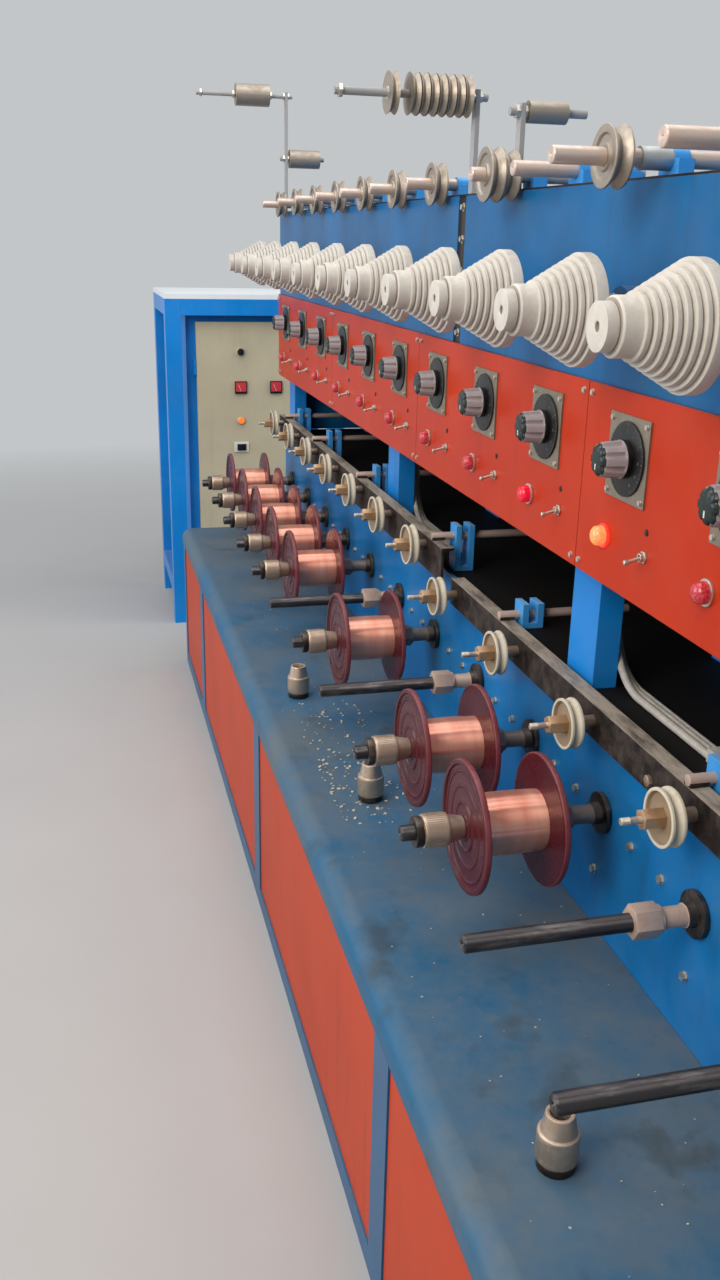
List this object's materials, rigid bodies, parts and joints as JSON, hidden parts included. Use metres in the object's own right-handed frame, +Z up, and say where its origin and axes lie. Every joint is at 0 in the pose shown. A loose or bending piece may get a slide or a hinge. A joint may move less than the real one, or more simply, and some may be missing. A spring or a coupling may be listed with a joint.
{
  "type": "multi-head wire take-up machine",
  "caption": "Long steel bench with a row of driven spindles for wire bobbins, stepped ceramic cones, a traverse bar with guide pulleys and an orange control fascia.",
  "frame": {"origin": "on the floor, midway along and midway deep", "axes": "+X along the machine towards its near end, +Y from the front to the back, +Z up"},
  "size_m": [4.368, 0.7, 1.9709],
  "materials": {
    "body_blue": "gloss enamel, scuffed",
    "bench_blue": "worn enamel with metal dust",
    "upper_blue": "gloss enamel",
    "panel_orange": "gloss enamel, dusty",
    "fascia_orange": "gloss enamel",
    "spindle_steel": "dark turned steel",
    "bobbin_maroon": "moulded plastic",
    "copper_winding": "bright wound copper wire",
    "cone_ceramic": "matt ceramic coating",
    "bar_iron": "rusted angle iron with worn edges",
    "pulley_nylon": "moulded nylon",
    "roller_grey": "turned, dull",
    "post_grey": "dusty grey paint",
    "plate_steel": "plated steel, stained",
    "dial_black": "moulded bakelite",
    "knob_grey": "moulded, dusty",
    "lamp_red": "lit lens",
    "cabinet_beige": "powder coat",
    "fitting_black": "moulded",
    "cable_grey": "sheathed cable",
    "top_white": "laminate"
  },
  "bodies": {
    "machine": {"bench_body": "body_blue", "bench_panels": "panel_orange", "bench_top": "bench_blue", "spindle_panel": "body_blue", "drive_housing": "body_blue", "bearing_blocks": "body_blue", "uprights": "body_blue", "covers": "body_blue", "fascia_panels": "fascia_orange", "upper_panels": "upper_blue", "dial_plates": "plate_steel", "dials": "dial_black", "indicator_lamps": "lamp_red", "toggle_switches": "plate_steel", "guide_sheaves": "roller_grey", "roller_posts": "post_grey", "overhead_rollers": "roller_grey", "cabinet_body": "body_blue", "stand_frame": "body_blue", "stand_top": "top_white", "loose_clamp_nuts": "spindle_steel", "cable_looms": "cable_grey"},
    "spindle_01_body": {"spindle_01": "spindle_steel"},
    "spindle_02_body": {"spindle_02": "spindle_steel"},
    "spindle_03_body": {"spindle_03": "spindle_steel", "bobbin_03": "bobbin_maroon"},
    "spindle_04_body": {"spindle_04": "spindle_steel", "bobbin_04": "bobbin_maroon"},
    "spindle_05_body": {"spindle_05": "spindle_steel"},
    "spindle_06_body": {"spindle_06": "spindle_steel", "bobbin_06": "bobbin_maroon"},
    "spindle_07_body": {"spindle_07": "spindle_steel"},
    "spindle_08_body": {"spindle_08": "spindle_steel", "bobbin_08": "bobbin_maroon"},
    "spindle_09_body": {"spindle_09": "spindle_steel", "bobbin_09": "bobbin_maroon"},
    "spindle_10_body": {"spindle_10": "spindle_steel", "bobbin_10": "bobbin_maroon"},
    "spindle_11_body": {"spindle_11": "spindle_steel", "bobbin_11": "bobbin_maroon"},
    "spindle_12_body": {"spindle_12": "spindle_steel", "bobbin_12": "bobbin_maroon"},
    "cone_01_body": {"cone_01": "cone_ceramic"},
    "cone_02_body": {"cone_02": "cone_ceramic"},
    "cone_03_body": {"cone_03": "cone_ceramic"},
    "cone_04_body": {"cone_04": "cone_ceramic"},
    "cone_05_body": {"cone_05": "cone_ceramic"},
    "cone_06_body": {"cone_06": "cone_ceramic"},
    "cone_07_body": {"cone_07": "cone_ceramic"},
    "cone_08_body": {"cone_08": "cone_ceramic"},
    "cone_09_body": {"cone_09": "cone_ceramic"},
    "cone_10_body": {"cone_10": "cone_ceramic"},
    "cone_11_body": {"cone_11": "cone_ceramic"},
    "cone_12_body": {"cone_12": "cone_ceramic"},
    "near_traverse": {"near_traverse_bar": "bar_iron", "near_guide_pulleys": "pulley_nylon"},
    "far_traverse": {"far_traverse_bar": "bar_iron", "far_guide_pulleys": "pulley_nylon"},
    "cabinet_door_body": {"cabinet_door": "cabinet_beige", "door_fittings": "fitting_black"}
  },
  "joints": [
    {"name": "spindle_01_turn", "type": "hinge", "parent": "machine", "child": "spindle_01_body", "pos_m": [2.044, 0.03, 0.701], "axis": [0, 1, 0], "continuous": true},
    {"name": "spindle_02_turn", "type": "hinge", "parent": "machine", "child": "spindle_02_body", "pos_m": [1.764, 0.03, 0.701], "axis": [0, 1, 0], "continuous": true},
    {"name": "spindle_03_turn", "type": "hinge", "parent": "machine", "child": "spindle_03_body", "pos_m": [1.484, 0.03, 0.701], "axis": [0, 1, 0], "continuous": true},
    {"name": "spindle_04_turn", "type": "hinge", "parent": "machine", "child": "spindle_04_body", "pos_m": [1.204, 0.03, 0.701], "axis": [0, 1, 0], "continuous": true},
    {"name": "spindle_05_turn", "type": "hinge", "parent": "machine", "child": "spindle_05_body", "pos_m": [0.924, 0.03, 0.701], "axis": [0, 1, 0], "continuous": true},
    {"name": "spindle_06_turn", "type": "hinge", "parent": "machine", "child": "spindle_06_body", "pos_m": [0.644, 0.03, 0.701], "axis": [0, 1, 0], "continuous": true},
    {"name": "spindle_07_turn", "type": "hinge", "parent": "machine", "child": "spindle_07_body", "pos_m": [0.364, 0.03, 0.701], "axis": [0, 1, 0], "continuous": true},
    {"name": "spindle_08_turn", "type": "hinge", "parent": "machine", "child": "spindle_08_body", "pos_m": [0.084, 0.03, 0.701], "axis": [0, 1, 0], "continuous": true},
    {"name": "spindle_09_turn", "type": "hinge", "parent": "machine", "child": "spindle_09_body", "pos_m": [-0.196, 0.03, 0.701], "axis": [0, 1, 0], "continuous": true},
    {"name": "spindle_10_turn", "type": "hinge", "parent": "machine", "child": "spindle_10_body", "pos_m": [-0.476, 0.03, 0.701], "axis": [0, 1, 0], "continuous": true},
    {"name": "spindle_11_turn", "type": "hinge", "parent": "machine", "child": "spindle_11_body", "pos_m": [-0.756, 0.03, 0.701], "axis": [0, 1, 0], "continuous": true},
    {"name": "spindle_12_turn", "type": "hinge", "parent": "machine", "child": "spindle_12_body", "pos_m": [-1.036, 0.03, 0.701], "axis": [0, 1, 0], "continuous": true},
    {"name": "cone_01_turn", "type": "hinge", "parent": "machine", "child": "cone_01_body", "pos_m": [2.044, -0.02, 1.429], "axis": [0, 1, 0], "continuous": true},
    {"name": "cone_02_turn", "type": "hinge", "parent": "machine", "child": "cone_02_body", "pos_m": [1.764, -0.02, 1.429], "axis": [0, 1, 0], "continuous": true},
    {"name": "cone_03_turn", "type": "hinge", "parent": "machine", "child": "cone_03_body", "pos_m": [1.484, -0.02, 1.429], "axis": [0, 1, 0], "continuous": true},
    {"name": "cone_04_turn", "type": "hinge", "parent": "machine", "child": "cone_04_body", "pos_m": [1.204, -0.02, 1.429], "axis": [0, 1, 0], "continuous": true},
    {"name": "cone_05_turn", "type": "hinge", "parent": "machine", "child": "cone_05_body", "pos_m": [0.924, -0.02, 1.429], "axis": [0, 1, 0], "continuous": true},
    {"name": "cone_06_turn", "type": "hinge", "parent": "machine", "child": "cone_06_body", "pos_m": [0.644, -0.02, 1.429], "axis": [0, 1, 0], "continuous": true},
    {"name": "cone_07_turn", "type": "hinge", "parent": "machine", "child": "cone_07_body", "pos_m": [0.364, -0.02, 1.429], "axis": [0, 1, 0], "continuous": true},
    {"name": "cone_08_turn", "type": "hinge", "parent": "machine", "child": "cone_08_body", "pos_m": [0.084, -0.02, 1.429], "axis": [0, 1, 0], "continuous": true},
    {"name": "cone_09_turn", "type": "hinge", "parent": "machine", "child": "cone_09_body", "pos_m": [-0.196, -0.02, 1.429], "axis": [0, 1, 0], "continuous": true},
    {"name": "cone_10_turn", "type": "hinge", "parent": "machine", "child": "cone_10_body", "pos_m": [-0.476, -0.02, 1.429], "axis": [0, 1, 0], "continuous": true},
    {"name": "cone_11_turn", "type": "hinge", "parent": "machine", "child": "cone_11_body", "pos_m": [-0.756, -0.02, 1.429], "axis": [0, 1, 0], "continuous": true},
    {"name": "cone_12_turn", "type": "hinge", "parent": "machine", "child": "cone_12_body", "pos_m": [-1.036, -0.02, 1.429], "axis": [0, 1, 0], "continuous": true},
    {"name": "near_traverse_slide", "type": "slide", "parent": "machine", "child": "near_traverse", "axis": [0, -1, 0], "range_m": [0, 0.125]},
    {"name": "far_traverse_slide", "type": "slide", "parent": "machine", "child": "far_traverse", "axis": [0, -1, 0], "range_m": [0, 0.125]},
    {"name": "cabinet_door_hinge", "type": "hinge", "parent": "machine", "child": "cabinet_door_body", "pos_m": [-1.666, -0.2375, 0.64], "axis": [0, 0, -1], "range_deg": [0, 100]}
  ],
  "couplings": [
    {"joint": "cone_02_turn", "follows": "cone_01_turn", "ratio": 1},
    {"joint": "cone_03_turn", "follows": "cone_01_turn", "ratio": 1},
    {"joint": "cone_04_turn", "follows": "cone_01_turn", "ratio": 1},
    {"joint": "cone_05_turn", "follows": "cone_01_turn", "ratio": 1},
    {"joint": "cone_06_turn", "follows": "cone_01_turn", "ratio": 1},
    {"joint": "cone_07_turn", "follows": "cone_01_turn", "ratio": 1},
    {"joint": "cone_08_turn", "follows": "cone_01_turn", "ratio": 1},
    {"joint": "cone_09_turn", "follows": "cone_01_turn", "ratio": 1},
    {"joint": "cone_10_turn", "follows": "cone_01_turn", "ratio": 1},
    {"joint": "cone_11_turn", "follows": "cone_01_turn", "ratio": 1},
    {"joint": "cone_12_turn", "follows": "cone_01_turn", "ratio": 1}
  ]
}
